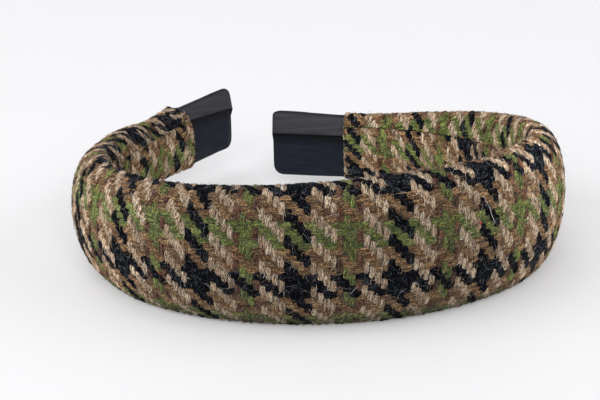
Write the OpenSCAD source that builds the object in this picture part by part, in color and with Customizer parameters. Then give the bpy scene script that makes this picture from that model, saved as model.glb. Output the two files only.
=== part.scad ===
// Padded headband: a sprung, foam-filled band wrapped in check tweed, with a
// ribbon cap on each tip. It lies on its lower edge, as it rests on a table.
// Units are millimetres. The floor is z = 0 and the gap between the tips faces +y.

/* [Band] */

// Length from tip to tip along the middle of the band
band_length = 357; // [300:1:420]
// Height of the padded crown from edge to edge
crown_width = 40.2; // [30:0.1:50]
// Thickness of the padded crown from the outer face to the inner face
crown_thickness = 14; // [9:0.1:18]
// Height of the band at its tips
tip_width = 21; // [17:0.1:26]
// Thickness of the band at its tips
tip_thickness = 4.6; // [4.2:0.1:7]
// Height of the left tip's lower edge above the table
tip_rise = 8.4; // [0:0.1:14]
// Angle of the crown about the vertical, which brings the gap to +y
crown_angle = -12.5; // [-30:0.5:30]

/* [Section] */

// Share of the thickness that lies outside the middle line
outer_share = 0.7; // [0.55:0.01:0.8]
// Fullness of the upper half of the domed outer face, where 2 is an ellipse
outer_fullness = 2.3; // [2:0.1:4]
// Fullness of the lower half of the outer face, which turns under a little sooner
lower_fullness = 2; // [1.6:0.1:4]
// Fullness of the flatter inner face, where 2 is an ellipse
inner_fullness = 3; // [2:0.1:5]
// Height of the wrapped edge on the inner face, as a share of half the width
overlap_height = 0.34; // [-0.5:0.01:0.6]
// Thickness of the tweed that overlaps on the inner face
tweed_overlap = 0.9; // [0.3:0.1:1.5]
// Thickness of the ribbon that overlaps on the inner face of a cap
ribbon_overlap = 0.5; // [0.2:0.1:0.8]

/* [Caps] */

// Length of each ribbon cap that shows beyond the tweed
cap_length = 24.5; // [15:0.5:35]
// Depth to which a cap is tucked into the end of the tweed
cap_tuck = 5; // [2:0.5:10]
// Thickness of the tweed around a tucked cap
tweed_wall = 1; // [0.8:0.1:2]
// Clearance between a cap and the tweed around it
tuck_clearance = 0.25; // [0.2:0.05:0.5]
// Radius of the corners at a cap's tip
corner_radius = 3.2; // [1:0.1:6]
// Length over which the tweed swells from its end to the padded form
swell_length = 26; // [12:1:50]

/* [Detail] */

// Sections along the tweed
tweed_sections = 84; // [40:2:110]
// Sections along the straight part of a cap
cap_sections = 9; // [4:1:16]
// Points on the outer half of a section
outer_points = 18; // [10:2:22]
// Points on the inner face below and above the wrapped edge
inner_points = 8; // [5:1:10]

/* [Hidden] */

// The band from the left tip to the right tip, at even steps of its length.
// heading: degrees turned from the crown's middle
// width, thickness: 0 is the tip's size and 1 is the crown's
// rise: lower edge above the table, as a share of tip_rise
HEADING = 0;
WIDTH = 1;
THICKNESS = 2;
RISE = 3;
STATIONS = [
    [-139.6,  0.07, 0.00, 1.00],
    [-127.6,  0.11, 0.49, 0.75],
    [ -81.7,  0.67, 0.82, 0.05],
    [ -31.5,  0.88, 0.94, 0.00],
    [   0.0,  1.00, 1.00, 0.00],
    [  36.3,  1.00, 0.95, 0.00],
    [ 101.5,  0.80, 0.72, 0.03],
    [ 152.1, 0.105, 0.48, 0.58],
    [ 156.3,  0.12, 0.00, 0.45],
];

half_length = band_length / 2;
path_steps = 240;
wall_step = (tweed_wall + tuck_clearance) / 2;
cap_end = half_length - cap_length;
fold_radius = tweed_wall / 2;

// Value of one column at a share of the half length, -1 at the left tip and 1 at
// the right, on a smooth curve through the rows.
last_row = len(STATIONS) - 1;
function cell(column, row) =
    row < 0 ? 2 * STATIONS[0][column] - STATIONS[1][column] :
    row > last_row ? 2 * STATIONS[last_row][column] - STATIONS[last_row - 1][column] :
    STATIONS[row][column];
function smooth_curve(a, b, c, d, f) =
    b + (c - a) * f / 2
    + (2 * a - 5 * b + 4 * c - d) * pow(f, 2) / 2
    + (3 * b - 3 * c + d - a) * pow(f, 3) / 2;
function along(column, share) =
    let (u = min(max((share + 1) / 2 * last_row, 0), last_row),
         row = min(floor(u), last_row - 1))
    smooth_curve(cell(column, row - 1), cell(column, row),
                 cell(column, row + 1), cell(column, row + 2), u - row);

// The middle line in plan, added up step by step from the left tip.
function heading(distance) = along(HEADING, distance / half_length) + crown_angle;
step_length = band_length / path_steps;
function step_vector(i) =
    let (angle = heading(-half_length + (i - 0.5) * step_length))
    [cos(angle), sin(angle)] * step_length;
PATH = [for (i = 0, point = [0, 0]; i <= path_steps;
             i = i + 1, point = point + step_vector(i)) point];
PATH_X = [for (i = [0:path_steps]) [-half_length + i * step_length, PATH[i].x]];
PATH_Y = [for (i = [0:path_steps]) [-half_length + i * step_length, PATH[i].y]];

// Sizes of the band at a distance along its middle line from the crown.
function half_width(distance) =
    (tip_width + (crown_width - tip_width) * along(WIDTH, distance / half_length)) / 2;
function thickness(distance) =
    tip_thickness
    + (crown_thickness - tip_thickness) * along(THICKNESS, distance / half_length);
function lower_edge(distance) =
    tip_rise * max(along(RISE, distance / half_length), 0);

// One section as [out, up] points: the domed outer face from top to bottom, then
// the inner face upwards, with the wrapped edge as a step.
function round_point(angle, fullness) =
    [pow(abs(cos(angle)), 2 / fullness),
     sign(sin(angle)) * pow(abs(sin(angle)), 2 / fullness)];
overlap_angle = sign(overlap_height)
    * asin(pow(abs(overlap_height), inner_fullness / 2));
edge_angle = 1.2;
OUTER = [for (i = [0:outer_points - 1])
    let (angle = 90 - 180 * i / outer_points)
    round_point(angle, angle > 0 ? outer_fullness : lower_fullness)];
INNER_LOW = [for (i = [0:inner_points])
    round_point(-90 + (overlap_angle - edge_angle + 90) * i / inner_points,
                inner_fullness)];
INNER_HIGH = [for (i = [0:inner_points - 1])
    round_point(overlap_angle + edge_angle
                + (90 - overlap_angle - edge_angle) * i / inner_points,
                inner_fullness)];
function section(half, thick, overlap) = concat(
    [for (p = OUTER) [p.x * thick * outer_share, p.y * half]],
    [for (p = INNER_LOW) [-p.x * thick * (1 - outer_share), p.y * half]],
    [for (p = INNER_HIGH) [-p.x * thick * (1 - outer_share)
                           - overlap * (1 - p.y) / (1 - overlap_height), p.y * half]]);

// A section set on the band: grow widens it all round.
function ring(distance, grow, overlap, shrink = 0) =
    let (angle = heading(distance),
         x = lookup(distance, PATH_X),
         y = lookup(distance, PATH_Y),
         half = half_width(distance),
         middle = lower_edge(distance) + half)
    [for (p = section(half + grow - shrink, thickness(distance) + 2 * grow - shrink,
                      overlap))
        [x + sin(angle) * p.x, y - cos(angle) * p.x, middle + p.y]];

// Growth of the tweed over the band: full around the caps, none at the crown.
function swell(distance) =
    wall_step * pow(max(1 - max(cap_end - abs(distance), 0) / swell_length, 0), 2);

// Rings of the tweed from the pocket at the left, over the fold, along the band
// and into the pocket at the right.
pocket_floor = cap_end - cap_tuck - tuck_clearance;
pocket_grow = -wall_step + tuck_clearance;
function tweed_ring(distance, inset = 0) =
    ring(distance, swell(distance) - inset, tweed_overlap);
function fold(side) = [
    ring(side * pocket_floor, pocket_grow, ribbon_overlap),
    ring(side * (cap_end - fold_radius), pocket_grow, ribbon_overlap),
    ring(side * cap_end, pocket_grow + fold_radius / 2, ribbon_overlap),
    tweed_ring(side * cap_end, fold_radius),
    tweed_ring(side * (cap_end - fold_radius * 0.6), fold_radius * 0.3),
];
first_section = cap_end - 3 * fold_radius;
LEFT_FOLD = fold(-1);
RIGHT_FOLD = fold(1);
TWEED_RINGS = concat(
    LEFT_FOLD,
    [for (i = [0:tweed_sections]) tweed_ring(first_section * (2 * i / tweed_sections - 1))],
    [for (i = [len(RIGHT_FOLD) - 1:-1:0]) RIGHT_FOLD[i]]);

// Rings of a cap from its tucked end to its rounded tip. side is -1 at the left.
function corner(angle) = corner_radius * (1 - cos(angle));
function cap_rings(side) = concat(
    [for (i = [0:cap_sections])
        let (distance = cap_end - cap_tuck
                 + (cap_length + cap_tuck - corner_radius) * i / cap_sections)
        ring(side * distance, -wall_step, ribbon_overlap)],
    [for (angle = [18:18:72])
        ring(side * (half_length - corner_radius * (1 - sin(angle))), -wall_step,
             ribbon_overlap, corner(angle))],
    [ring(side * half_length, -wall_step, ribbon_overlap, corner(82))]);

// The table position that puts the middle of the part's outline at the origin.
SPREAD_X = [for (r = TWEED_RINGS) for (p = r) p.x];
SPREAD_Y = [for (rings = [TWEED_RINGS, cap_rings(-1), cap_rings(1)])
    for (r = rings) for (p = r) p.y];
home = -[(min(SPREAD_X) + max(SPREAD_X)) / 2, (min(SPREAD_Y) + max(SPREAD_Y)) / 2, 0];

// A point well inside a section, level with its wrapped edge, from which all of
// the section can be seen.
overlap_low = outer_points + inner_points;
outer_level = round(outer_points * (90 - overlap_angle) / 180);
function inside(r) = (r[overlap_low] + r[overlap_low + 1]) / 4 + r[outer_level] / 2;

// A closed solid through rings of equal length. Flipped rings run the other way.
module loft(rings, flipped = false) {
    size = len(rings[0]);
    last = len(rings) - 1;
    near_middle = size * (last + 1);
    far_middle = near_middle + 1;
    points = concat([for (r = rings) for (p = r) p], [inside(rings[0]), inside(rings[last])]);
    faces = concat(
        [for (k = [0:last - 1]) for (i = [0:size - 1])
            let (j = (i + 1) % size)
            each [[k * size + i, (k + 1) * size + i, (k + 1) * size + j],
                  [k * size + i, (k + 1) * size + j, k * size + j]]],
        [for (i = [0:size - 1]) [near_middle, i, (i + 1) % size]],
        [for (i = [0:size - 1]) [far_middle, last * size + (i + 1) % size, last * size + i]]);
    polyhedron(points = points,
               faces = flipped ? [for (f = faces) [f[2], f[1], f[0]]] : faces,
               convexity = 10);
}

module tweed_cover() {
    color([0.52, 0.42, 0.3])
        translate(home) loft(TWEED_RINGS);
}

module left_ribbon_cap() {
    color([0.09, 0.09, 0.11])
        translate(home) loft(cap_rings(-1), true);
}

module right_ribbon_cap() {
    color([0.09, 0.09, 0.11])
        translate(home) loft(cap_rings(1));
}

tweed_cover();
left_ribbon_cap();
right_ribbon_cap();
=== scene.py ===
"""Padded headband: a foam-filled band in a chunky check tweed, with a ribbon cap on each
tip, lying on its lower edge on a white table. Lengths are millimetres until a mesh is made."""

import math

import bpy
import numpy as np
from mathutils import Matrix, Vector


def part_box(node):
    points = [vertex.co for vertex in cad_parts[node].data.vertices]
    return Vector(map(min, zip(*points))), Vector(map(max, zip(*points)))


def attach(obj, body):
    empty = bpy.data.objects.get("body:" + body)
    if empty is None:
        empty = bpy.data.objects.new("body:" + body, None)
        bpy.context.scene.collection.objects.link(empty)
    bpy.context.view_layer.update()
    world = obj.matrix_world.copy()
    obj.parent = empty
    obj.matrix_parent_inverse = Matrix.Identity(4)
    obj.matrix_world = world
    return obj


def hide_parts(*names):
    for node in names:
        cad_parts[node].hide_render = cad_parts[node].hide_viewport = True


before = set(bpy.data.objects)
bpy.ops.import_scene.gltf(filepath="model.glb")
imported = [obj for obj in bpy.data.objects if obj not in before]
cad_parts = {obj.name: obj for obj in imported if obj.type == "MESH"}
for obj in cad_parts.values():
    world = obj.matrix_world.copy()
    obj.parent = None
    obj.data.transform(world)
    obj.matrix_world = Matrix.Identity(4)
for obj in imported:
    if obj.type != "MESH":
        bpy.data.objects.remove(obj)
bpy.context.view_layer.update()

scene = bpy.context.scene
MM = 0.001
SEED = 11

# The band's form, from the same named sizes as the solids.
BAND_LENGTH = 357.0
CROWN_WIDTH = 40.2
CROWN_THICKNESS = 14.0
TIP_WIDTH = 21.0
TIP_THICKNESS = 4.6
TIP_RISE = 8.4
CROWN_ANGLE = -12.5
OUTER_SHARE = 0.7
OUTER_FULLNESS = 2.3
LOWER_FULLNESS = 2.0
INNER_FULLNESS = 3.0
OVERLAP_HEIGHT = 0.34
TWEED_OVERLAP = 0.9
RIBBON_FOLD = 0.95
CAP_LENGTH = 24.5
CAP_TUCK = 5.0
TWEED_WALL = 1.0
TUCK_CLEARANCE = 0.25
CORNER_RADIUS = 3.2
SWELL_LENGTH = 26.0

# Rows from the left tip to the right: heading in degrees, width, thickness and rise.
HEADING, WIDTH, THICKNESS, RISE = range(4)
STATIONS = np.array([
    [-139.6, 0.07, 0.00, 1.00],
    [-127.6, 0.11, 0.49, 0.75],
    [-81.7, 0.67, 0.82, 0.05],
    [-31.5, 0.88, 0.94, 0.00],
    [0.0, 1.00, 1.00, 0.00],
    [36.3, 1.00, 0.95, 0.00],
    [101.5, 0.80, 0.72, 0.03],
    [152.1, 0.105, 0.48, 0.58],
    [156.3, 0.12, 0.00, 0.45],
])
HALF_LENGTH = BAND_LENGTH / 2
PATH_STEPS = 240
WALL_STEP = (TWEED_WALL + TUCK_CLEARANCE) / 2
CAP_END = HALF_LENGTH - CAP_LENGTH
FOLD_RADIUS = TWEED_WALL / 2


def along(column, distance):
    """One column of the table at a distance from the crown, on a smooth curve through its rows."""
    rows = STATIONS[:, column]
    last = len(rows) - 1
    padded = np.concatenate([[2 * rows[0] - rows[1]], rows, [2 * rows[-1] - rows[-2]]])
    u = np.clip((np.asarray(distance, float) / HALF_LENGTH + 1) / 2 * last, 0, last)
    row = np.minimum(u.astype(int), last - 1)
    f = u - row
    a, b, c, d = (padded[row + k] for k in range(4))
    return (b + (c - a) * f / 2 + (2 * a - 5 * b + 4 * c - d) * f ** 2 / 2
            + (3 * b - 3 * c + d - a) * f ** 3 / 2)


def make_path():
    """The middle line in plan, added up step by step from the left tip."""
    middles = (np.arange(PATH_STEPS) + 0.5) * BAND_LENGTH / PATH_STEPS - HALF_LENGTH
    angle = np.radians(along(HEADING, middles) + CROWN_ANGLE)
    steps = np.stack([np.cos(angle), np.sin(angle)], 1) * BAND_LENGTH / PATH_STEPS
    return np.concatenate([[[0.0, 0.0]], np.cumsum(steps, axis=0)])


PATH_AT = np.linspace(-HALF_LENGTH, HALF_LENGTH, PATH_STEPS + 1)
PATH = make_path()
HOME = np.zeros(3)


def round_point(phi, fullness):
    """A point of a rounded quarter, as out and up."""
    return (abs(math.cos(phi)) ** (2 / fullness),
            math.copysign(abs(math.sin(phi)) ** (2 / fullness), math.sin(phi)))


def section_points(outer, low, high, height=OVERLAP_HEIGHT):
    """A unit section as rows of out, up and overlap weight. It runs from the wrapped edge on the
    inner face up over the top, down the outer face and up the inner face to the edge again."""
    edge = math.degrees(math.asin(height ** (INNER_FULLNESS / 2)))
    step = 0.3
    rows = []
    for phi in np.radians(np.linspace(edge + step, 90, high, endpoint=False)):
        out, up = round_point(phi, INNER_FULLNESS)
        rows.append((-out * (1 - OUTER_SHARE), up, (1 - up) / (1 - height)))
    for phi in np.radians(np.linspace(90, -90, outer, endpoint=False)):
        out, up = round_point(phi, OUTER_FULLNESS if phi > 0 else LOWER_FULLNESS)
        rows.append((out * OUTER_SHARE, up, 0.0))
    for phi in np.radians(np.linspace(-90, edge - step, low)):
        out, up = round_point(phi, INNER_FULLNESS)
        rows.append((-out * (1 - OUTER_SHARE), up, 0.0))
    return np.array(rows)


def rings(distance, grow, unit, overlap, shrink=0.0):
    """Sections set on the band at each distance, as an array of rings of 3-D points. The unit
    section may be one for all or one for each distance."""
    distance = np.atleast_1d(distance)
    grow, overlap, shrink = (np.broadcast_to(value, distance.shape)
                             for value in (grow, overlap, shrink))
    unit = np.broadcast_to(unit, distance.shape + unit.shape[-2:])
    angle = np.radians(along(HEADING, distance) + CROWN_ANGLE)
    centre = np.stack([np.interp(distance, PATH_AT, PATH[:, k]) for k in range(2)], 1)
    half = (TIP_WIDTH + (CROWN_WIDTH - TIP_WIDTH) * along(WIDTH, distance)) / 2
    thick = TIP_THICKNESS + (CROWN_THICKNESS - TIP_THICKNESS) * along(THICKNESS, distance)
    middle = TIP_RISE * np.maximum(along(RISE, distance), 0) + half
    out = unit[..., 0] * (thick + 2 * grow - shrink)[:, None] - overlap[:, None] * unit[..., 2]
    up = unit[..., 1] * (half + grow - shrink)[:, None] + middle[:, None]
    return np.stack([centre[:, :1] + np.sin(angle)[:, None] * out,
                     centre[:, 1:] - np.cos(angle)[:, None] * out, up], -1) + HOME


def swell(distance):
    """Growth of the tweed over the band: full around the caps, none at the crown."""
    inwards = np.maximum(CAP_END - np.abs(distance), 0)
    return WALL_STEP * np.clip(1 - inwards / SWELL_LENGTH, 0, 1) ** 2


# The part's outline is centred on the origin, as the solids' is.
_span = np.linspace(-CAP_END, CAP_END, 601)
_tweed = rings(_span, swell(_span), section_points(48, 24, 24), 0.0).reshape(-1, 3)
_low, _high = (np.array(corner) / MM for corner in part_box("tweed_cover"))
HOME = np.array([(_low[0] + _high[0] - _tweed[:, 0].min() - _tweed[:, 0].max()) / 2,
                 _low[1] - _tweed[:, 1].min(), 0.0])


# Mesh helpers.
def new_object(name, data):
    """An object with this data, placed in the scene."""
    thing = bpy.data.objects.new(name, data)
    scene.collection.objects.link(thing)
    return thing


def smooth_object(name, mesh, material):
    """An object of a mesh, checked, shaded smooth and given its material if it has one."""
    mesh.validate()
    mesh.polygons.foreach_set("use_smooth", np.full(len(mesh.polygons), True))
    if material:
        mesh.materials.append(material)
    return new_object(name, mesh)


def add_values(mesh, label, values):
    """A value or a vector for each point of a mesh, for its material."""
    values = np.asarray(values, np.float32)
    kind, field = ("FLOAT", "value") if values.ndim == 1 else ("FLOAT_VECTOR", "vector")
    mesh.attributes.new(label, kind, "POINT").data.foreach_set(field, values.ravel())


def new_mesh(name, points, faces, material=None, **attributes):
    """A mesh object from millimetre points and equal-sided faces, with per-point attributes."""
    points = np.asarray(points, np.float32).reshape(-1, 3) * MM
    faces = np.asarray(faces, np.int32)
    mesh = bpy.data.meshes.new(name)
    mesh.vertices.add(len(points))
    mesh.vertices.foreach_set("co", points.ravel())
    count, sides = faces.shape
    mesh.loops.add(faces.size)
    mesh.loops.foreach_set("vertex_index", faces.ravel())
    mesh.polygons.add(count)
    mesh.polygons.foreach_set("loop_start", np.arange(count, dtype=np.int32) * sides)
    mesh.polygons.foreach_set("loop_total", np.full(count, sides, np.int32))
    mesh.update(calc_edges=True)
    thing = smooth_object(name, mesh, material)
    for label, values in attributes.items():
        add_values(mesh, label, values)
    return thing


def grid_faces(rows, columns, closed=False):
    """Quads over a grid of rows by columns of points."""
    wide = columns if closed else columns - 1
    r, c = np.meshgrid(np.arange(rows - 1), np.arange(wide), indexing="ij")
    right = (c + 1) % columns
    quads = np.stack([r * columns + c, (r + 1) * columns + c,
                      (r + 1) * columns + right, r * columns + right], -1)
    return quads.reshape(-1, 4)


def tube_mesh(name, grid, material, turned=False):
    """A mesh object over rings of millimetre points, closed to a middle point at each end. Its
    faces look the other way when turned."""
    rows, width = grid.shape[:2]
    points = np.concatenate([grid.reshape(-1, 3), grid[[0, -1]].mean(1)])
    ring = np.arange(width)
    after = np.roll(ring, -1)
    last = (rows - 1) * width
    middle = np.full(width, rows * width)
    ends = np.concatenate([np.stack([ring, after, middle], 1),
                           np.stack([after + last, ring + last, middle + 1], 1)])
    order = slice(None, None, -1 if turned else 1)
    faces = [side[:, order].tolist() for side in (grid_faces(rows, width, closed=True), ends)]
    mesh = bpy.data.meshes.new(name)
    mesh.from_pydata((points * MM).tolist(), [], faces[0] + faces[1])
    return smooth_object(name, mesh, material)


def repeated(quads, count, size):
    """The same quads for each of many pieces of size points."""
    return (quads[None] + (np.arange(count) * size)[:, None, None]).reshape(-1, 4)


def smooth_noise(shape, scale, rng):
    """Soft random values from -1 to 1 on a grid, with features about scale cells wide."""
    out = rng.uniform(-1, 1, [max(int(math.ceil(n / scale)) + 3, 4) for n in shape])
    for axis, n in enumerate(shape):
        x = np.arange(n) / scale + 1
        i = x.astype(int)
        f = x - i
        f = f * f * (3 - 2 * f)
        a = np.take(out, i, axis)
        b = np.take(out, i + 1, axis)
        weight = f.reshape([-1 if k == axis else 1 for k in range(len(shape))])
        out = a * (1 - weight) + b * weight
    return out


def unit_length(vectors):
    """The same directions with a length of 1."""
    return vectors / np.maximum(np.linalg.norm(vectors, axis=-1, keepdims=True), 1e-9)


# The cloth's surface, laid out in cloth coordinates. Its sections have points on the outer
# face, on the inner face below the wrapped edge, and above it.
OUTER_POINTS = 90
LOW_POINTS = 60
HIGH_POINTS = 34
OUTER_MIDDLE = HIGH_POINTS + OUTER_POINTS // 2
DENSE = section_points(OUTER_POINTS, LOW_POINTS, HIGH_POINTS)
MAIN_SECTIONS = 301
POCKET_REACH = 3.0


def cloth_stations():
    """Distances and insets of sections from one folded end of the tweed to the other."""
    main = np.linspace(-CAP_END + FOLD_RADIUS, CAP_END - FOLD_RADIUS, MAIN_SECTIONS)
    turn = np.radians(np.linspace(0, 180, 7)[1:])
    bend = FOLD_RADIUS * np.sin(turn)
    inset = FOLD_RADIUS * (1 - np.cos(turn))
    right = np.concatenate([CAP_END - FOLD_RADIUS + bend, [CAP_END - POCKET_REACH]])
    inset = np.concatenate([inset, [2 * FOLD_RADIUS]])
    distance = np.concatenate([-right[::-1], main, right])
    return distance, np.concatenate([inset[::-1], main * 0, inset])


CLOTH_AT, CLOTH_INSET = cloth_stations()
# The tweed's ends are pressed close to the caps, and the wool fills part of its wrapped edge.
END_SWELL = 0.45
EDGE_SHOWN = 0.25
# Along the band: the wrapped edge's height as a share of half the width, and how much the top
# rim stands above or below the plain form.
EDGE_LINE = np.array([[-154, 0.50], [-130, 0.42], [-100, 0.34], [95, 0.34], [106, 0.42], [115, 0.47],
                      [130, 0.56], [142, 0.64], [154, 0.64]])
RIM_LINE = np.array([[-154, 1.0], [-150, 0.6], [-138, -0.3], [-130, 0.5], [-122, 0.6], [-115, -0.3],
                     [-106, -0.5], [-95, 0.2], [-85, 0.4], [-75, 0.0], [-45, 0.4], [-25, 0.4],
                     [-15, 0.8], [-5, 0.9], [5, 1.3], [15, 1.6], [22, 1.3], [30, 1.1], [40, 0.9],
                     [46, 1.2], [60, 0.8], [75, 0.3], [100, 0.0], [115, 0.7], [130, 1.3],
                     [142, 0.7], [153, 0.0]])
SECTIONS = np.stack([section_points(OUTER_POINTS, LOW_POINTS, HIGH_POINTS, height)
                     for height in np.interp(CLOTH_AT, *EDGE_LINE.T)])
CLOTH = rings(CLOTH_AT, END_SWELL * swell(CLOTH_AT) - CLOTH_INSET, SECTIONS, EDGE_SHOWN * TWEED_OVERLAP)
_upper = np.clip(SECTIONS[..., 1], 0, 1)
CLOTH[..., 2] += np.interp(CLOTH_AT, *RIM_LINE.T)[:, None] * _upper
# The left end runs on a slant: its top stops early, and the rest reaches on to the tip.
END_AHEAD = 4.0
TOP_BACK = 8.0
SLANT_REACH = 18.0
SLANT_POWER = 2.5
_slant = END_AHEAD - TOP_BACK * _upper ** SLANT_POWER
_fade = np.clip((-CAP_END + SLANT_REACH - CLOTH_AT) / SLANT_REACH, 0, 1) ** 2
_tip_side, _edge = rings([-CAP_END - CAP_TUCK, -CAP_END], 0, DENSE, 0).mean(1)
CLOTH = CLOTH + (_fade[:, None] * _slant)[..., None] * unit_length(_tip_side - _edge)


def arc(points, axis):
    """How far each point lies along its line of points on one axis."""
    steps = np.linalg.norm(np.diff(points, axis=axis), axis=-1)
    return np.concatenate([np.zeros_like(np.take(steps, [0], axis)), np.cumsum(steps, axis)], axis)


ROUND = arc(CLOTH, 1)
ROUND = ROUND[:, OUTER_MIDDLE:OUTER_MIDDLE + 1] - ROUND
LENGTHWISE = arc(CLOTH[:, OUTER_MIDDLE], 0)
LENGTHWISE -= np.interp(0, CLOTH_AT, LENGTHWISE)
V_STEP = 0.5
V_REACH = 64
V_GRID = np.arange(-V_REACH, V_REACH + V_STEP, V_STEP)
V_TOP = ROUND[:, 0]
V_FOOT = ROUND[:, -1]


def relaid(values):
    """Values on the dense sections, laid out again at even steps round the cloth."""
    flat = np.stack([[np.interp(V_GRID, ROUND[k][::-1], values[k][::-1, c])
                      for c in range(values.shape[-1])] for k in range(len(values))])
    return flat.transpose(0, 2, 1)


def cloth_normals(surface):
    """Unit normals of a grid of points."""
    return unit_length(np.cross(np.gradient(surface, axis=1), np.gradient(surface, axis=0)))


# The simulation leaves out sections at each end, and takes some of the rest.
SIM_TRIM = 8
SIM_EVERY = 3
ROUND_COLUMNS = 72
SIM_SCALE = 20
SIM_FRAMES = 16
SIM_START = 0.5
SIM_RIPPLE = 0.12
RIPPLE_SIZE = 5
SIM_SETTINGS = {
    "quality": 6, "mass": 0.3, "tension_stiffness": 60, "compression_stiffness": 60,
    "shear_stiffness": 15, "bending_stiffness": 10.0, "vertex_group_mass": "held",
    "pin_stiffness": 1.0, "use_pressure": True, "uniform_pressure_force": 25.0,
}
COLUMNS = np.linspace(0, len(DENSE) - 1, ROUND_COLUMNS).round().astype(int)
# How firmly the foam holds the sleeve between its fixed edges, where 1 is fixed.
FOAM_HOLD = 0.6


def inflate():
    """A cloth simulation of the sleeve, at a larger scale: it is fixed at its ends and along the
    wrapped edge and held more softly by the foam in between, and pressure fills it. The result
    is the sections taken, and how far each point lies out from the plain form in millimetres."""
    pick = np.arange(SIM_TRIM, len(CLOTH_AT) - SIM_TRIM, SIM_EVERY)
    rest = CLOTH[np.ix_(pick, COLUMNS)]
    normal = cloth_normals(CLOTH)[np.ix_(pick, COLUMNS)]
    rows, width = len(pick), len(COLUMNS)
    ripple = SIM_RIPPLE * smooth_noise((rows, width), RIPPLE_SIZE, np.random.default_rng(SEED + 5))
    start = rest + normal * (ripple - SIM_START)[..., None]
    sleeve = new_mesh("sleeve_sim", start * SIM_SCALE, grid_faces(rows, width)[:, ::-1])
    held = sleeve.vertex_groups.new(name="held")
    r, c = np.meshgrid(np.arange(rows), np.arange(width), indexing="ij")
    edge = (r == 0) | (r == rows - 1) | (c == 0) | (c == width - 1)
    for chosen, hold in ((edge, 1.0), (~edge, FOAM_HOLD)):
        held.add(np.flatnonzero(chosen).tolist(), hold, "ADD")
    cloth = sleeve.modifiers.new("Cloth", "CLOTH")
    for key, value in SIM_SETTINGS.items():
        setattr(cloth.settings, key, value)
    cloth.settings.effector_weights.gravity = 0.0
    cloth.point_cache.frame_start = 1
    cloth.point_cache.frame_end = SIM_FRAMES
    for number in range(1, SIM_FRAMES + 1):
        scene.frame_set(number)
    shown = sleeve.evaluated_get(bpy.context.evaluated_depsgraph_get()).to_mesh()
    moved = np.empty(rows * width * 3, np.float32)
    shown.vertices.foreach_get("co", moved)
    moved = moved.reshape(rows, width, 3) / MM / SIM_SCALE
    bpy.data.objects.remove(sleeve, do_unlink=True)
    scene.frame_set(1)
    return pick, ((moved - rest) * normal).sum(-1)


def ends_ease(reach):
    """A factor for each section: 0 at the folded ends, and 1 from so far inwards."""
    return np.clip((CAP_END - np.abs(CLOTH_AT)) / reach, 0, 1)


def spread(pick, out):
    """The simulated movement on every dense point of the cloth, eased out towards the ends."""
    lines = np.stack([np.interp(np.arange(len(DENSE)), COLUMNS, line) for line in out])
    full = np.stack([np.interp(np.arange(len(CLOTH_AT)), pick, line) for line in lines.T], 1)
    return full * ends_ease(PUFF_REACH)[:, None]


PUFF_LIMIT = 0.45
PUFF_REACH = 8.0
YARN_DEPTH = 0.42
# Towards the folded ends the yarns sink less, so that the two layers of a fold keep apart.
FOLD_DEPTH = 0.2
FOLD_REACH = 6.0
EASE = np.where(CLOTH_INSET > 0, 0.0, ends_ease(FOLD_REACH))
SINK = FOLD_DEPTH + (YARN_DEPTH - FOLD_DEPTH) * EASE
# Soft lumps in the foam. Nothing moves where the cloth meets the table.
LUMP_HEIGHT = 0.22
LUMP_SIZE = 16
LUMP_REACH = 20.0
FLOOR_REACH = 3.0
puff = np.zeros((len(CLOTH_AT), len(DENSE)))
_pick, _out = inflate()
_out = np.nan_to_num(_out)
puff = spread(_pick, PUFF_LIMIT * np.tanh((_out - np.median(_out)) / PUFF_LIMIT))

lumps = LUMP_HEIGHT * smooth_noise(puff.shape, LUMP_SIZE, np.random.default_rng(SEED))
lumps *= ends_ease(LUMP_REACH)[:, None]
_floor_ease = np.clip(CLOTH[..., 2] / FLOOR_REACH, 0, 1)
_moved = (puff + lumps) * _floor_ease * EASE[:, None] - SINK[:, None]
CLOTH = CLOTH + cloth_normals(CLOTH) * _moved[..., None]
SURFACE = relaid(CLOTH)
NORMALS = -cloth_normals(SURFACE)


# How far inside the cloth's edges its points and its normals are read.
POINT_INSIDE = 0.05
NORMAL_INSIDE = 0.8
SECTIONS_INSIDE = 1.5


def cloth_point(l, v, beyond=0.0):
    """Surface point and normal at cloth coordinates: l along the outer face, v up it. Last comes
    whether the place is on the cloth or no more than so far beyond its wrapped edge."""
    k = np.interp(l, LENGTHWISE, np.arange(len(LENGTHWISE)))
    top = np.interp(l, LENGTHWISE, V_TOP)
    foot = np.interp(l, LENGTHWISE, V_FOOT)
    inside = np.clip(v, foot + POINT_INSIDE, top - POINT_INSIDE)
    point = bilinear(SURFACE, k, (inside - V_GRID[0]) / V_STEP)
    safe = np.clip(v, foot + NORMAL_INSIDE, top - NORMAL_INSIDE)
    k_safe = np.clip(k, SECTIONS_INSIDE, len(LENGTHWISE) - 1 - SECTIONS_INSIDE)
    normal = unit_length(bilinear(NORMALS, k_safe, (safe - V_GRID[0]) / V_STEP))
    return point, normal, (v < top + beyond) & (v > foot - beyond)


def bilinear(table, i, j):
    """Values of a grid at places between its points."""
    i = np.clip(i, 0, table.shape[0] - 1.001)
    j = np.clip(j, 0, table.shape[1] - 1.001)
    a, b = i.astype(int), j.astype(int)
    f, g = (i - a)[..., None], (j - b)[..., None]
    return ((table[a, b] * (1 - g) + table[a, b + 1] * g) * (1 - f)
            + (table[a + 1, b] * (1 - g) + table[a + 1, b + 1] * g) * f)


# The weave: a 2/2 twill whose warps run round the band.
WARPS = ["beige"] * 4 + ["black"] * 4 + ["beige"] * 4 + ["umber", "green", "green", "umber"]
WEFTS = ["green"] * 4 + ["camel"] * 4 + ["black"] * 4 + ["camel"] * 4
REPEAT = 16
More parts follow.
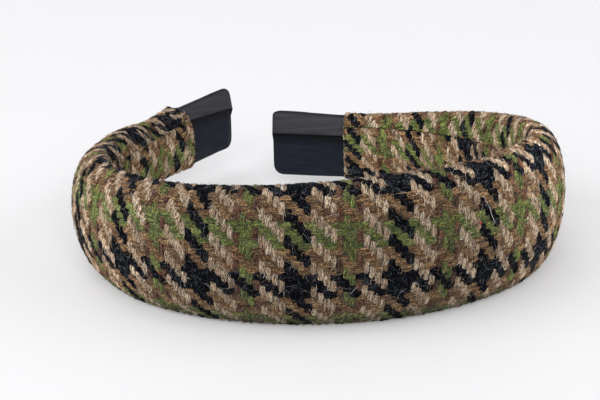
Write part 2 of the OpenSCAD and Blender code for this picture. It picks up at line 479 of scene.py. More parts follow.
# Where the middle of the black warps and of the green wefts lies in the repeat.
BLACK_MIDDLE = 6
GREEN_MIDDLE = 2
WARP_PITCH = 1.6
WEFT_PITCH = 1.76
WARP_NUMBERS = (-132, 150)
WEFT_NUMBERS = (-42, 56)
# Where the middle of each black warp group crosses the outer face, along the band.
BLACK_AT = np.array([-216, -191, -166, -146, -120, -95.5, -70.5, -45, -18, 9, 35, 58, 81.5, 106, 129.5,
                     151.5, 173, 195, 217])
BLACK_NUMBER = np.arange(-8, 11)
# How the cloth's grain drifts. Rows from left to right: distance along the band, height of the
# green weft group above the outer face's middle, lean of the warps, and how far the pattern
# shifts along the band over the top edge, along it under the foot, and up under the foot.
ALONG, GREEN, LEAN, OVER, UNDER, DROP = range(6)
GRAIN = np.array([
    [-170, 5.2, 0.04, -8.0, -5.0, 1.0],
    [-140, 4.6, 0.03, -8.0, -5.0, 1.0],
    [-112, 9.5, 0.00, -7.0, -5.0, 1.0],
    [-85, 10.5, -0.05, -1.5, -2.0, 0.5],
    [-65, 10.8, -0.02, 0.0, 0.0, 0.0],
    [-25, 9.7, 0.01, 0.0, 0.0, 0.0],
    [0, 8.9, 0.03, 0.0, 0.0, 0.0],
    [25, 7.4, 0.05, 0.0, 0.0, 0.0],
    [50, 5.8, 0.10, 1.5, 0.0, 0.0],
    [85, 4.1, 0.16, 4.0, 1.5, 4.0],
    [110, 1.2, -0.05, 4.0, 1.5, 6.5],
    [135, -4.6, 0.00, 2.0, 1.5, 6.5],
    [170, -5.7, 0.00, 0.5, 1.5, 6.5],
])
# Heights on the cloth from which these shifts grow, and over which they become whole.
EDGE_HEIGHT = 15.0
EDGE_REACH = 12.0
FOOT_HEIGHT = 8.0
FOOT_REACH = 20.0
LEAN_LIMIT = 20.0
LEAN_CENTRE = 5.0
PLACE_ROUNDS = 7


def grain(column, l):
    """One column of the grain at a distance along the band."""
    return np.interp(l, GRAIN[:, ALONG], GRAIN[:, column])


def cloth_place(w, f):
    """Cloth coordinates of warp number w and weft number f, whole numbers at yarn edges."""
    straight = np.interp((w - BLACK_MIDDLE) / REPEAT, BLACK_NUMBER, BLACK_AT)
    down = (f - GREEN_MIDDLE) * WEFT_PITCH
    l = straight
    v = grain(GREEN, l) - down
    for _ in range(PLACE_ROUNDS):
        foot = np.clip((-FOOT_HEIGHT - v) / FOOT_REACH, 0, 1)
        v = grain(GREEN, l) + grain(DROP, l) * foot - down
        over = np.clip((v - EDGE_HEIGHT) / EDGE_REACH, 0, 1)
        under = np.clip((-EDGE_HEIGHT - v) / EDGE_REACH, 0, 1)
        l = (straight + grain(LEAN, l) * (np.clip(v, -LEAN_LIMIT, LEAN_LIMIT) - LEAN_CENTRE)
             + grain(OVER, l) * over + grain(UNDER, l) * under)
    return l, v


ALONG_POINTS = 8
ROUND_POINTS = 7
FLOAT_OVER = 0.30
FLOAT_DIP = -0.42
FLOAT_POWER = 0.6
# Half width in yarn pitches, height of the top and of the rounded side, for each set of yarns.
WARP_SHAPE = (0.57, 0.42, 0.52)
WEFT_SHAPE = (0.62, 0.30, 0.38)
STRANDS = 4
# How far round a float's own section reaches, and how wide it is where it dives under.
SIDE_DEGREES = 104
DIVE_WIDTH = 0.84
# How much one float differs from the next, in pitches, and how rough its surface is.
WIDTH_SPREAD = 0.10
ACROSS_SPREAD = 0.07
BOW_SPREAD = 0.07
LIFT_RANGE = (-0.08, 0.09)
STRETCH_SPREAD = 0.10
ROUGHNESS = 0.03
# How full each yarn is, against the plain width.
YARN_WIDTH = {"beige": 0.90, "camel": 1.02, "black": 1.21, "green": 0.96, "umber": 0.95}
# Floats are kept that start this far past the wrapped edge, so that none is missing along it.
PAST_EDGE = 1.2
INTO_FOLD = 1.4
# Painted light and shade on the wool: painted light on the arms and the upper rim, painted shade close
# to the table, at places along the band, with the heights and the distances from the crown between
# which it changes.
PAINTED_LIGHT_AT = (-80, -58, -35, 20, 40, 57, 80, 115)
PAINTED_LIGHT_LEVELS = (1.15, 0.78, 0.57, 0.60, 0.79, 1.28, 1.6, 1.15)
PAINTED_TABLE_SHADE = 0.6
PAINTED_TABLE_SHADE_HEIGHTS = (3.0, 5.0)
PAINTED_RIM_LIGHT = 1.3
PAINTED_RIM_LIGHT_HEIGHTS = (33.0, 39.0)
PAINTED_RIM_LIGHT_REACH = (50, 72)


def float_profile(t):
    """Height of a float along its length, 0 where it dives under and 1 on top."""
    reach = 2 + 2 * FLOAT_OVER
    return np.sin(np.pi * np.clip((t + FLOAT_OVER) / reach, 0, 1)) ** FLOAT_POWER


def tone(l, height):
    """Painted light and shade: the wool is made paler on the arms and the upper rim, and darker close
    to the table.
    """
    low = np.interp(height, PAINTED_TABLE_SHADE_HEIGHTS, (PAINTED_TABLE_SHADE, 1))
    rim = np.interp(height, PAINTED_RIM_LIGHT_HEIGHTS, (0, PAINTED_RIM_LIGHT - 1))
    rim = rim * np.interp(np.abs(l), PAINTED_RIM_LIGHT_REACH, (1, 0))
    return np.interp(l, PAINTED_LIGHT_AT, PAINTED_LIGHT_LEVELS) * low * (1 + rim)


def yarn_floats(warp, rng):
    """The visible floats of one set of yarns, as arrays of points, with what each needs for its
    colour and fibre."""
    # Cells where a float over two crossing yarns begins.
    w0, f0 = np.meshgrid(np.arange(*WARP_NUMBERS), np.arange(*WEFT_NUMBERS), indexing="ij")
    starts = (w0 - f0) % 4 == (2 if warp else 3)
    w0, f0 = w0[starts], f0[starts]
    centre_l, centre_v = cloth_place(w0 + (0.5 if warp else 1.0), f0 + (1.0 if warp else 0.5))
    _, _, shown = cloth_point(centre_l, centre_v, PAST_EDGE)
    shown &= (centre_l > LENGTHWISE[0] + INTO_FOLD) & (centre_l < LENGTHWISE[-1] - INTO_FOLD)
    w0, f0 = w0[shown], f0[shown]
    colour = np.array(WARPS if warp else WEFTS)[(w0 if warp else f0) % REPEAT]
    fullness = np.array([YARN_WIDTH[name] for name in colour])[:, None, None]
    each = (len(w0), 1, 1)
    w0, f0 = w0.reshape(each), f0.reshape(each)
    half, top_height, drop = WARP_SHAPE if warp else WEFT_SHAPE
    t = np.linspace(-FLOAT_OVER, 2 + FLOAT_OVER, ALONG_POINTS)[:, None]
    phi = np.radians(np.linspace(-SIDE_DEGREES, SIDE_DEGREES, ROUND_POINTS))
    wide = half * fullness * (1 + rng.uniform(-WIDTH_SPREAD, WIDTH_SPREAD, each))
    shift = rng.uniform(-ACROSS_SPREAD, ACROSS_SPREAD, each)
    bow = rng.uniform(-BOW_SPREAD, BOW_SPREAD, each)
    lift = rng.uniform(*LIFT_RANGE, each)
    stretch = rng.uniform(-STRETCH_SPREAD, STRETCH_SPREAD, each)
    profile = float_profile(t)
    slim = DIVE_WIDTH + (1 - DIVE_WIDTH) * profile
    side = wide * slim * np.sin(phi) + shift + bow * np.cos(np.pi * (t - 1)) + 0.5
    run = t + stretch + 0 * phi
    l, v = cloth_place(w0 + side, f0 + run) if warp else cloth_place(w0 + run, f0 + side)
    point, normal, _ = cloth_point(l, v)
    height = FLOAT_DIP + (top_height - FLOAT_DIP + lift) * profile - drop * (1 - np.cos(phi))
    height = height + ROUGHNESS * rng.normal(size=height.shape)
    point = point + normal * height[..., None]
    fibre = np.empty(point.shape)
    fibre[..., 0] = run * (WARP_PITCH if warp else WEFT_PITCH) + rng.uniform(0, 400, each)
    fibre[..., 1] = np.sin(phi) * STRANDS / 2 + rng.uniform(0, 1, each)
    fibre[..., 2] = rng.integers(0, 4000, each)
    tint = np.broadcast_to(rng.uniform(0, 1, each), height.shape)
    # Last comes the painted light and shade of each point.
    return point, fibre, tint, tone(l, point[..., 2]), colour


def yarn_piece(colour, sets):
    """All floats of one colour, as one piece."""
    picked = [[values[colours == colour] for values in (point, fibre, tint, painted_light_level)]
              for point, fibre, tint, painted_light_level, colours in sets]
    point, fibre, tint, painted_light_level = (np.concatenate(parts) for parts in zip(*picked))
    faces = repeated(grid_faces(ALONG_POINTS, ROUND_POINTS), len(point), ALONG_POINTS * ROUND_POINTS)
    # Each point carries its painted light and shade, which the material multiplies in.
    return new_mesh("tweed_" + colour + "_yarn", point, faces, yarn_material(colour),
                    fibre=fibre.reshape(-1, 3), tint=tint.ravel(), tone=painted_light_level.ravel())


# Fibres that lie on the yarns and stand off them: how far they keep from the table, from the
# yarns and from the folded ends, how low they lie, and how late they lift.
TABLE_GAP = 0.04
HAIR_GAP = 0.03
HAIR_END_GAP = 2.2
LOWEST_HAIR = 0.12
LIFT_POWER = 1.5
# Nap: spread of the angle and curl in radians, of curly fibres and of straight ones, then least
# and most of the length, the radius and the lift, and how the radius changes along a fibre.
NAP_SPREAD = (1.3, 0.3)
NAP_CURL = (2.6, 0.7)
NAP_LENGTH = (0.8, 2.8)
NAP_RADIUS = (0.025, 0.06)
NAP_LIFT = (-0.04, 0.24)
NAP_TAPER = (0.75, 1, 0.9, 0.4)
# Loose hairs: the same, with the mean and the greatest lift.
HAIR_CURL = 1.6
HAIR_LENGTH = (1.0, 7.0)
HAIR_RADIUS = (0.012, 0.024)
HAIR_LIFT = 0.38
HAIR_LIFT_LIMIT = 1.6
HAIR_TAPER = (1, 1, 0.95, 0.8, 0.35)


def yarn_on_top(w, f):
    """Which yarn shows at a place in the weave: true for a warp, and its number in the repeat."""
    order = (np.floor(w) - np.floor(f)) % 4
    warp = (order == 1) | (order == 2)
    return warp, np.where(warp, np.floor(w), np.floor(f)).astype(int) % REPEAT


def relief(w, f):
    """Height of the yarn tops over the cloth's base at a place in the weave."""
    best = np.full(np.shape(w), FLOAT_DIP)
    for across, run, begin, shape in ((w, f, np.floor(w) - 2, WARP_SHAPE),
                                      (f, w, np.floor(f) + 3, WEFT_SHAPE)):
        half, top_height, drop = shape
        t = (run - begin) % 4
        t = np.where(t > 4 - FLOAT_OVER, t - 4, t)
        a = np.clip((across - np.floor(across) - 0.5) / half, -1, 1)
        high = FLOAT_DIP + (top_height - FLOAT_DIP) * float_profile(t)
        best = np.maximum(best, high - drop * (1 - np.sqrt(1 - a ** 2)))
    return best


def skins(lines, rings_round, closed=False):
    """Points and quads of skins over rings on many short lines, clear of the table."""
    points = lines[:, :, None] + rings_round
    points[..., 2] = np.maximum(points[..., 2], TABLE_GAP)
    count, steps, round_points = points.shape[:3]
    quads = grid_faces(steps, round_points, closed)
    return points, repeated(quads, count, steps * round_points)


def tubes(lines, radius, normal):
    """Three-sided tubes round many short lines."""
    ahead = np.gradient(lines, axis=1)
    side = unit_length(np.cross(ahead, normal[:, None]))
    rise = unit_length(np.cross(side, ahead))
    spokes = np.radians([90, 210, 330])[:, None]
    ring = np.cos(spokes) * side[:, :, None] + np.sin(spokes) * rise[:, :, None]
    return skins(lines, radius[:, :, None, None] * ring, closed=True)


def strips(lines, radius, normal):
    """Flat strips along many short lines, lying on the cloth."""
    side = unit_length(np.cross(normal[:, None], np.gradient(lines, axis=1)))
    edges = np.array([-1.0, 1.0])[:, None]
    return skins(lines, edges * radius[:, :, None, None] * side[:, :, None])


def fibre_lines(w, f, angle, length, curl, steps, lift):
    """Lines that start at places in the weave and follow the yarn tops, then lift off them."""
    lines = np.empty((len(w), steps, 3))
    for step in range(steps):
        l, v = cloth_place(w, f)
        point, normal, _ = cloth_point(l, v)
        share = step / (steps - 1)
        height = np.maximum(relief(w, f), LOWEST_HAIR) + HAIR_GAP + lift * share ** LIFT_POWER
        lines[:, step] = point + normal * height[:, None]
        if step == 0:
            first_normal = normal
        w = w + np.cos(angle) * length / (steps - 1) / WARP_PITCH
        f = f + np.sin(angle) * length / (steps - 1) / WEFT_PITCH
        angle = angle + curl / (steps - 1)
    return lines, first_normal


def places(count, rng):
    """Random places in the weave, over the whole of the cloth."""
    w = rng.uniform(*WARP_NUMBERS, count * 3)
    f = rng.uniform(*WEFT_NUMBERS, count * 3)
    l, v = cloth_place(w, f)
    _, _, shown = cloth_point(l, v)
    shown &= (l > LENGTHWISE[0] + HAIR_END_GAP) & (l < LENGTHWISE[-1] - HAIR_END_GAP)
    return w[shown][:count], f[shown][:count]


def nap(count, rng):
    """Short fibres lying on the yarns they belong to, grouped by yarn colour."""
    w, f = places(count, rng)
    count = len(w)
    warp, number = yarn_on_top(w, f)
    colour = np.where(warp, np.array(WARPS)[number], np.array(WEFTS)[number])
    curly = rng.random(count) < np.array([CURLY[name] for name in colour])
    flip = rng.integers(0, 2, count) * np.pi
    turned = np.where(curly, *NAP_SPREAD) * rng.normal(size=count)
    angle = np.where(warp, np.pi / 2, 0.0) + flip + turned
    length = np.clip(rng.lognormal(0.40, 0.35, count), *NAP_LENGTH)
    curl = rng.normal(0, 1, count) * np.where(curly, *NAP_CURL)
    radius = rng.uniform(*NAP_RADIUS, count)[:, None] * NAP_TAPER
    lift = rng.uniform(*NAP_LIFT, count) + curly * rng.exponential(0.10, count)
    lines, normal = fibre_lines(w, f, angle, length, curl, len(NAP_TAPER), lift)
    # Painted light and shade for each fibre, by its place along the band and its height.
    painted_light_level = tone(cloth_place(w, f)[0], lines[:, 0, 2])
    made = []
    for name in YARN_COLOURS:
        mine = colour == name
        points, faces = strips(lines[mine], radius[mine], normal[mine])
        # Each point gets its fibre's tint and its painted light and shade.
        tint, shown = (np.repeat(values, 2 * len(NAP_TAPER))
                       for values in (rng.uniform(0, 1, mine.sum()), painted_light_level[mine]))
        made.append(new_mesh("tweed_" + name + "_nap", points, faces, nap_material(name),
                             tint=tint, tone=shown))
    return made


def loose_hairs(count, rng):
    """Longer hairs of every shade that cross the pattern and stand off the outline."""
    w, f = places(count, rng)
    count = len(w)
    angle = rng.uniform(0, 2 * np.pi, count)
    length = np.clip(rng.lognormal(0.75, 0.5, count), *HAIR_LENGTH)
    curl = rng.normal(0, HAIR_CURL, count)
    lift = np.minimum(rng.exponential(HAIR_LIFT, count), HAIR_LIFT_LIMIT)
    lines, normal = fibre_lines(w, f, angle, length, curl, len(HAIR_TAPER), lift)
    radius = rng.uniform(*HAIR_RADIUS, count)[:, None] * HAIR_TAPER
    points, faces = tubes(lines, radius, normal)
    shade = np.repeat(rng.uniform(0, 1, count), 3 * len(HAIR_TAPER))
    return new_mesh("tweed_loose_hairs", points, faces, hair_material(), shade=shade)


# Materials.
BLACK = (0, 0, 0, 1)
WHITE = (1, 1, 1, 1)


def srgb(r, g, b):
    """A screen colour from 0 to 255 as the linear colour that a shader takes."""
    return tuple((c / 255 / 12.92) if c <= 10 else ((c / 255 + 0.055) / 1.055) ** 2.4
                 for c in (r, g, b)) + (1.0,)


def shades(*colours):
    return tuple(srgb(*colour) for colour in colours)


def grey(level):
    return (level, level, level, 1)


class Nodes:
    """A short way to build a node material."""

    def __init__(self, name):
        self.material = bpy.data.materials.new(name)
        self.material.use_nodes = True
        self.tree = self.material.node_tree
        self.tree.nodes.clear()
        self.shader = self.add("ShaderNodeBsdfPrincipled")
        out = self.add("ShaderNodeOutputMaterial")
        self.put(out.inputs[0], self.shader.outputs[0])

    def add(self, kind, **values):
        node = self.tree.nodes.new(kind)
        for key, value in values.items():
            setattr(node, key, value)
        return node

    def put(self, socket, value):
        """Link an output to a socket, or give the socket a plain value."""
        if hasattr(value, "links"):
            self.tree.links.new(value, socket)
        else:
            socket.default_value = value

    def fill(self, node, **values):
        for key, value in values.items():
            self.put(node.inputs[key.replace("_", " ")], value)

    def set(self, **values):
        self.fill(self.shader, **values)

    def math(self, operation, *values):
        node = self.add("ShaderNodeMath", operation=operation)
        for socket, value in zip(node.inputs, values):
            self.put(socket, value)
        return node.outputs[0]

    def attribute(self, name, output):
        return self.add("ShaderNodeAttribute", attribute_name=name).outputs[output]

    def parts(self, source):
        node = self.add("ShaderNodeSeparateXYZ")
        self.put(node.inputs[0], source)
        return node.outputs

    def scaled(self, source, scale):
        node = self.add("ShaderNodeMapping")
        self.fill(node, Vector=source, Scale=scale)
        return node.outputs[0]

    def noise(self, source, scale, detail, roughness):
        node = self.add("ShaderNodeTexNoise")
        self.fill(node, Vector=source, Scale=scale, Detail=detail, Roughness=roughness)
        return node.outputs[0]

    def ramp(self, source, stops):
        node = self.add("ShaderNodeValToRGB")
        ramp = node.color_ramp
        while len(ramp.elements) < len(stops):
            ramp.elements.new(0.5)
        for element, (position, colour) in zip(ramp.elements, stops):
            element.position = position
            element.color = colour
        self.put(node.inputs[0], source)
        return node.outputs[0]

    def mix(self, kind, factor, a, b):
        node = self.add("ShaderNodeMix", data_type="RGBA", blend_type=kind)
        for value, index in ((factor, 0), (a, 6), (b, 7)):
            self.put(node.inputs[index], value)
        return node.outputs[2]

    def bump(self, height, strength, distance):
        node = self.add("ShaderNodeBump")
        self.fill(node, Height=height, Strength=strength, Distance=distance)
        self.set(Normal=node.outputs[0])


def yarn_material(yarn):
    """Loosely spun wool: strands side by side along the yarn, each of its own shade, with a tint
    for each float and stray fibres of another shade. Painted shade darkens the grooves between strands,
    and the painted light and shade of the band is multiplied in."""
    dark, middle, light, stray, other = YARN_COLOURS[yarn]
    run = STREAK_RUN[yarn]
    n = Nodes("wool_" + yarn)
    fibre = n.attribute("fibre", "Vector")
    lengthwise, across, float_number = n.parts(fibre)
    wander = n.noise(n.scaled(fibre, (0.6, 0.35, 1.7)), 1.0, 1.0, 0.5)
    lane = n.math("ADD", across, n.math("MULTIPLY", wander, STRAND_WANDER))
    lane = n.math("ADD", lane, n.math("MULTIPLY", lengthwise, STRAND_TWIST))
    ridge = n.math("ABSOLUTE", n.math("SUBTRACT", n.math("FRACT", lane), 0.5))
    ridge = n.math("SUBTRACT", 1.0, n.math("MULTIPLY", n.math("MULTIPLY", ridge, ridge), 3.4))
    strand = n.add("ShaderNodeCombineXYZ")
    n.fill(strand, X=n.math("FLOOR", lane), Y=float_number)
    lottery = n.add("ShaderNodeTexWhiteNoise", noise_dimensions="2D")
    n.fill(lottery, Vector=strand.outputs[0])
    streak = n.noise(n.scaled(fibre, (run, 1.3, 1.0)), 1.0, 2.0, 0.6)
    felt = n.noise(n.add("ShaderNodeTexCoord").outputs["Object"], 1900.0, 3.0, 0.75)
    level = n.math("MULTIPLY", streak, 2.2)
    level = n.math("ADD", level, n.math("MULTIPLY", lottery.outputs["Value"], 0.6))
    level = n.math("ADD", level, n.math("MULTIPLY", felt, 1.5))
    colour = n.ramp(n.math("SUBTRACT", level, 1.57), [(0.15, dark), (0.55, middle), (0.95, light)])
    for more, around, apart, low, wool in ((0.1, 1.5, 1.7, 0.55, stray), (0.3, 1.7, 2.9, 0.57, other)):
        chance = n.noise(n.scaled(fibre, (run + more, around, apart)), 1.0, 1.0, 0.5)
        colour = n.mix("MIX", n.ramp(chance, [(low, BLACK), (low + 0.05, WHITE)]), colour, wool)
    tint = n.ramp(n.attribute("tint", "Fac"),
                  [(0.0, grey(0.82)), (0.5, (0.98, 0.97, 0.95, 1)), (1.0, (1.16, 1.15, 1.11, 1))])
    # Painted shade in the grooves between strands, then the painted light and shade of the band.
    painted_groove_shade = n.ramp(ridge, [(0.15, grey(0.44)), (0.75, grey(1.08))])
    for layer in (tint, painted_groove_shade, n.attribute("tone", "Color")):
        colour = n.mix("MULTIPLY", 1.0, colour, layer)
    height = n.math("ADD", n.math("MULTIPLY", ridge, 0.9), n.math("MULTIPLY", streak, 0.8))
    height = n.math("ADD", height, n.math("MULTIPLY", felt, 0.9))
    n.bump(height, 1.0, 0.00030)
    n.set(Base_Color=colour, Roughness=0.9, Specular_IOR_Level=0.04)
    n.set(Sheen_Weight=0.0 if yarn == "black" else 0.12, Sheen_Roughness=0.5)
    return n.material


def nap_material(yarn):
    """Fibres on the yarn tops, each one shade from dark to light, with the painted light and shade
    multiplied in.
    """
    n = Nodes("nap_" + yarn)
    dark, middle, light, stray, other = NAP_COLOURS[yarn]
    stops = [(0.0, dark), (0.3, dark), (0.45, middle), (0.75, light), (0.8, light), (0.9, stray),
             (1.0, other)]
    colour = n.ramp(n.attribute("tint", "Fac"), stops)
    colour = n.mix("MULTIPLY", 1.0, colour, n.attribute("tone", "Color"))
    n.set(Base_Color=colour, Roughness=0.85, Specular_IOR_Level=0.15)
    return n.material


def hair_material():
    """Loose hairs, each one shade from dark to pale."""
    n = Nodes("loose_wool")
    wools = shades((20, 20, 24), (70, 62, 54), (150, 138, 120), (222, 218, 212))
    stops = list(zip((0.0, 0.45, 0.8, 1.0), wools))
    n.set(Base_Color=n.ramp(n.attribute("shade", "Fac"), stops), Roughness=0.8)
    return n.material


# Shades of each yarn: dark, middle, light, and two stray fibres.
YARN_COLOURS = {
    "beige": shades((72, 56, 42), (181, 154, 123), (252, 238, 212), (212, 172, 142), (132, 116, 98)),
    "camel": shades((32, 23, 16), (118, 90, 59), (202, 169, 125), (138, 89, 58), (56, 43, 34)),
    "black": shades((1, 1, 3), (5, 6, 11), (19, 22, 31), (40, 44, 52), (10, 10, 13)),
    "green": shades((29, 36, 19), (87, 104, 47), (168, 179, 101), (66, 94, 60), (134, 114, 66)),
    "umber": shades((14, 10, 8), (76, 52, 38), (152, 114, 86), (122, 68, 48), (28, 23, 20)),
}
# The black wool's own fine hair is greyer than its yarn.
NAP_COLOURS = dict(YARN_COLOURS)
NAP_COLOURS["black"] = shades((8, 8, 12), (18, 20, 27), (76, 81, 90), (124, 130, 136), (64, 66, 71))
# How short each yarn's streaks are, and how much of its nap curls.
STREAK_RUN = {"beige": 0.8, "camel": 1.9, "black": 1.0, "green": 1.4, "umber": 1.5}
CURLY = {"beige": 0.2, "camel": 0.45, "black": 0.75, "green": 0.35, "umber": 0.85}
# How far the strands of a yarn wander across it, and how they twist, in strands.
STRAND_WANDER = 2.6
STRAND_TWIST = 0.16

_rng = np.random.default_rng(SEED + 1)
yarn_sets = [yarn_floats(True, _rng), yarn_floats(False, _rng)]
pieces = [yarn_piece(colour, yarn_sets) for colour in YARN_COLOURS]


# The padded sleeve under the yarns, and its depth at its folded ends as a share of the whole.
BACKING_DEPTH = 0.30
END_DEPTH = 0.4
END_SECTIONS = 8


def backing():
    """Rings of the sleeve. All of the sections at its folded ends are kept, and every second one
    of the rest."""
    count = len(CLOTH_AT)
    folded = np.arange(END_SECTIONS)
    rows = np.unique(np.concatenate([folded, np.arange(0, count, 2), count - 1 - folded]))
    depth = BACKING_DEPTH * (END_DEPTH + (1 - END_DEPTH) * EASE)
    lowered = CLOTH - cloth_normals(CLOTH) * depth[:, None, None]
    return lowered[np.ix_(rows, COLUMNS)]


def ground_material():
    """Dark wool, which shows between the yarns."""
    n = Nodes("wool_ground")
    place = n.add("ShaderNodeTexCoord").outputs["Object"]
    stops = [(0.3, srgb(18, 15, 12)), (0.7, srgb(52, 42, 32))]
    n.bump(n.noise(place, 2200.0, 2.0, 0.6), 0.6, 0.0002)
    n.set(Base_Color=n.ramp(n.noise(place, 900.0, 3.0, 0.6), stops), Roughness=0.95)
    return n.material


sleeve = tube_mesh("padded_sleeve", backing(), ground_material())


# Ribbon caps: sections along the straight part, angles round the corners at the tip, and points
# on the outer face, and on the inner face below and above the folded edge.
CAP_SECTIONS = 34
CORNER_ANGLES = np.linspace(8, 82, 10)
LAST_ANGLE = 84
CAP_POINTS = (44, 34, 20)
# The fold rises from this far inside the tweed, over a short stretch.
FOLD_START = 0.8
FOLD_RISE = 2.5
# How close a cap lies under the tweed, as a share of its plain depth, how far the painted shade under
# the fold reaches, and how sharply the fold's painted light begins.
CAP_SINK = 0.8
SHADE_DEPTH = 4.5
FLAP_EDGE = 8
# Height and size of the soft wrinkles, and where they begin, are whole, fade and end.
WRINKLES = ((0.10, 9), (0.04, 4))
WRINKLE_SPAN = (-1, 2, CAP_LENGTH - 2, CAP_LENGTH)


# Name, side, roundness of the upper corner and height of the folded edge at the tweed, of each.
CAPS = [("left_ribbon", -1, 1.0, 0.6), ("right_ribbon", 1, 0.5, 0.42)]


def ribbon_cap(name, side, top_corner, root_edge, material, rng):
    """One cap: a tapering tube with rounded corners and the fold as a step on its inner face."""
    straight = np.linspace(CAP_END - CAP_TUCK + 0.1, HALF_LENGTH - CORNER_RADIUS, CAP_SECTIONS)
    angles = np.radians([*CORNER_ANGLES, LAST_ANGLE])
    bend = HALF_LENGTH - CORNER_RADIUS * (1 - np.sin(angles[:-1]))
    distance = side * np.concatenate([straight, bend, [HALF_LENGTH]])
    shrink = np.concatenate([straight * 0, CORNER_RADIUS * (1 - np.cos(angles))])
    beyond = np.abs(distance) - CAP_END
    edges = np.interp(beyond, (0, CAP_LENGTH), (root_edge, OVERLAP_HEIGHT))
    unit = np.stack([section_points(*CAP_POINTS, height) for height in edges])
    fold = RIBBON_FOLD * np.clip((beyond + FOLD_START) / FOLD_RISE, 0, 1)
    grid = rings(distance, -CAP_SINK * WALL_STEP, unit, fold, shrink)
    grid[..., 2] += np.clip(unit[..., 1], 0, 1) * shrink[:, None] * (1 - top_corner)
    wrinkle = sum(height * smooth_noise(grid.shape[:2], size, rng) for height, size in WRINKLES)
    fade = np.interp(beyond, WRINKLE_SPAN, (0, 1, 1, 0))
    grid = grid - cloth_normals(grid) * side * (wrinkle * fade[:, None])[..., None]
    around = arc(grid, 1)
    lengthwise = np.abs(distance)[:, None] + 0 * around
    # Third channel: painted light on the fold, and below zero painted shade where the ribbon tucks
    # under it.
    flap = np.clip(unit[..., 2] * FLAP_EDGE, 0, 1)
    under = (unit[..., 0] < 0) & (unit[..., 2] == 0)
    flap = flap - under * np.clip(1 - (around[:, -1:] - around) / SHADE_DEPTH, 0, 1)
    ribbon = np.stack([lengthwise, around, flap], -1)
    cap = tube_mesh(name, grid, material, turned=side < 0)
    add_values(cap.data, "ribbon", np.concatenate([ribbon.reshape(-1, 3), ribbon[[0, -1], 0]]))
    return cap


def ribbon_material():
    """Fine ribbed ribbon: ribs along the band, cross threads between them and a soft sheen. The
    folded part gets painted light, and painted shadow darkens it where it tucks under the fold."""
    n = Nodes("ribbon")
    place = n.attribute("ribbon", "Vector")
    ribs = n.add("ShaderNodeTexWave", wave_type="BANDS", bands_direction="Y")
    n.fill(ribs, Vector=place, Scale=0.62, Distortion=0.4, Detail=1.0)
    threads = n.noise(n.scaled(place, (5.0, 1.5, 1.0)), 1.0, 2.0, 0.6)
    shade = n.noise(n.scaled(place, (0.12, 0.9, 0.0)), 1.0, 2.0, 0.5)
    below = n.ramp(shade, [(0.25, srgb(15, 19, 28)), (0.75, srgb(28, 33, 45))])
    # The paler copy on the fold is painted light.
    folded = n.ramp(shade, [(0.25, srgb(47, 47, 51)), (0.75, srgb(63, 63, 68))])
    flap = n.parts(place)[2]
    colour = n.mix("MIX", n.math("MAXIMUM", flap, 0.0), below, folded)
    # Painted shadow where the ribbon tucks under the fold.
    painted_tuck_shadow = n.math("MAXIMUM", n.math("MULTIPLY", flap, -1.0), 0.0)
    colour = n.mix("MIX", painted_tuck_shadow, colour, BLACK)
    n.bump(n.mix("ADD", 0.35, ribs.outputs[0], threads), 0.35, 0.00012)
    n.set(Base_Color=colour, Roughness=0.6, Specular_IOR_Level=0.12)
    n.set(Sheen_Weight=0.02, Sheen_Roughness=0.4)
    return n.material


_rng = np.random.default_rng(SEED + 2)
ribbon = ribbon_material()
caps = [ribbon_cap(*cap, ribbon, _rng) for cap in CAPS]


# Nap and loose hairs.
NAP_FIBRES = 54000
LOOSE_HAIRS = 4000
STRAY_HEIGHT = 0.77
STRAY_WAVE = 0.25
STRAY_TAPER = (0.6, 1, 1, 1, 1, 0.9, 0.5)
# Single fibres that stand out: cloth coordinates of both ends, width and shade.
STRAYS = [
    (33.1, 14.3, 34.3, 11.6, 0.10, srgb(226, 224, 220)),
    (34.3, 11.6, 36.0, 6.2, 0.12, srgb(226, 224, 220)),
    (31.0, 7.8, 31.6, 7.1, 0.45, srgb(196, 40, 48)),
    (-57.0, -2.2, -55.3, -3.8, 0.16, srgb(186, 96, 74)),
    (-22.4, 22.6, -22.0, 21.4, 0.45, srgb(240, 240, 240)),
]


def stray_fibre(number, ends, width, shade):
    """One fibre laid over the yarns between two places on the cloth."""
    share = np.linspace(0, 1, len(STRAY_TAPER))
    l = ends[0] + (ends[2] - ends[0]) * share
    v = ends[1] + (ends[3] - ends[1]) * share + STRAY_WAVE * np.sin(share * 9)
    point, normal, _ = cloth_point(l, v)
    line = point + normal * STRAY_HEIGHT
    radius = width / 2 * np.array(STRAY_TAPER)
    points, faces = tubes(line[None], radius[None], normal[:1])
    n = Nodes("stray_" + str(number))
    n.set(Base_Color=shade, Roughness=0.7)
    return new_mesh("stray_fibre_" + str(number), points, faces, n.material)


pieces.extend(nap(NAP_FIBRES, np.random.default_rng(SEED + 3)))
pieces.append(loose_hairs(LOOSE_HAIRS, np.random.default_rng(SEED + 4)))
for number, (*ends, width, shade) in enumerate(STRAYS):
    pieces.append(stray_fibre(number, ends, width, shade))

for piece in pieces + [sleeve]:
    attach(piece, "root")
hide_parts("tweed_cover")
for cap, node in zip(caps, ("left_ribbon_cap", "right_ribbon_cap")):
    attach(cap, "root")
    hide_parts(node)

# Camera, table and lights.
HEADING_DEGREES = 20.13
PITCH_DEGREES = 21.99
ROLL_DEGREES = -1.23
CAMERA_AT = Vector((-132.1, -354.9, 166.1)) * MM
LENS = 81.4
TABLE_REACH = 2200.0
BACK_START = 750.0
BACK_RISE = 1400.0
SWEEP_RADIUS = 500.0
# The table itself glows faintly, as painted light, which keeps the shadows on it pale.
TABLE_GLOW = 0.18


def table_material():
    """Matt white with the glow."""
    n = Nodes("table_white")
    n.set(Base_Color=(0.635, 0.63, 0.64, 1), Roughness=0.85, Specular_IOR_Level=0.1)
    n.set(Emission_Color=WHITE, Emission_Strength=TABLE_GLOW)
    return n.material


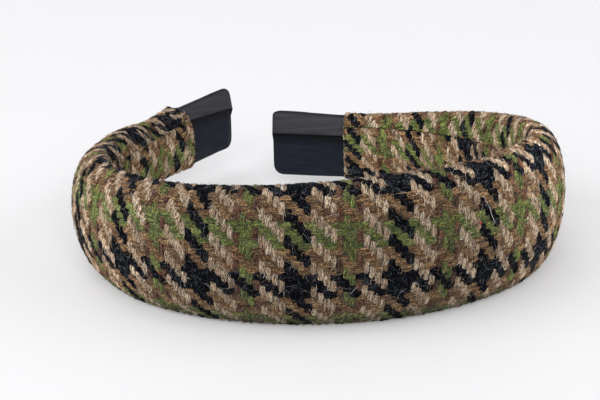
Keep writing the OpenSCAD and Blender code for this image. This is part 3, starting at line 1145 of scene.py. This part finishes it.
def seamless_table():
    """A white sweep: flat in front, curving up far behind the band."""
    line = [(-TABLE_REACH, 0.0), (BACK_START, 0.0)]
    for angle in np.radians(np.linspace(6, 90, 15)):
        line.append((BACK_START + SWEEP_RADIUS * math.sin(angle), SWEEP_RADIUS * (1 - math.cos(angle))))
    line.append((BACK_START + SWEEP_RADIUS, BACK_RISE))
    turn = math.radians(HEADING_DEGREES)
    points = [(x * math.cos(turn) + y * math.sin(turn), y * math.cos(turn) - x * math.sin(turn), z)
              for y, z in line for x in (-TABLE_REACH, TABLE_REACH)]
    return new_mesh("table", points, grid_faces(len(line), 2)[:, ::-1], table_material())


table = seamless_table()

camera = new_object("camera", bpy.data.cameras.new("camera"))
camera.data.lens = LENS
camera.data.sensor_width = 36.0
camera.data.clip_start = 0.01
camera.data.clip_end = 50.0
turn = (Matrix.Rotation(math.radians(-HEADING_DEGREES), 4, "Z")
        @ Matrix.Rotation(math.radians(90 - PITCH_DEGREES), 4, "X")
        @ Matrix.Rotation(math.radians(ROLL_DEGREES), 4, "Z"))
camera.matrix_world = Matrix.Translation(CAMERA_AT) @ turn
scene.camera = camera


def area_light(name, place, size, power, colour=(1.0, 1.0, 1.0)):
    """A soft rectangular light that faces the band."""
    light = bpy.data.lights.new(name, "AREA")
    light.shape = "RECTANGLE"
    light.size, light.size_y = size
    light.energy = power
    light.color = colour
    thing = new_object(name, light)
    thing.location = place
    thing.rotation_mode = "QUATERNION"
    thing.rotation_quaternion = (-Vector(place)).to_track_quat("-Z", "Y")


# Name, place and size in metres and power in watts of each light, and its colour if not white.
LIGHTS = [
    ("softbox", (-0.35, -0.30, 2.0), (1.6, 1.4), 5.5, (1.0, 0.99, 1.0)),
    ("front_box", (-0.9, -2.1, 1.4), (2.6, 1.3), 52.0),
    ("back_box", (-0.3, 0.7, 1.9), (1.6, 1.4), 6.0),
    ("left_box", (-1.4, -0.1, 1.0), (1.4, 0.8), 11.5),
    ("right_box", (1.2, -0.7, 0.95), (1.4, 0.8), 8.5),
]
WORLD_COLOUR = (0.96, 0.96, 1.0, 1)
WORLD_STRENGTH = 0.25

for light in LIGHTS:
    area_light(*light)

world = bpy.data.worlds.new("studio")
world.use_nodes = True
background = world.node_tree.nodes["Background"]
background.inputs["Color"].default_value = WORLD_COLOUR
background.inputs["Strength"].default_value = WORLD_STRENGTH
scene.world = world
scene.view_settings.view_transform = "Standard"
scene.view_settings.look = "None"
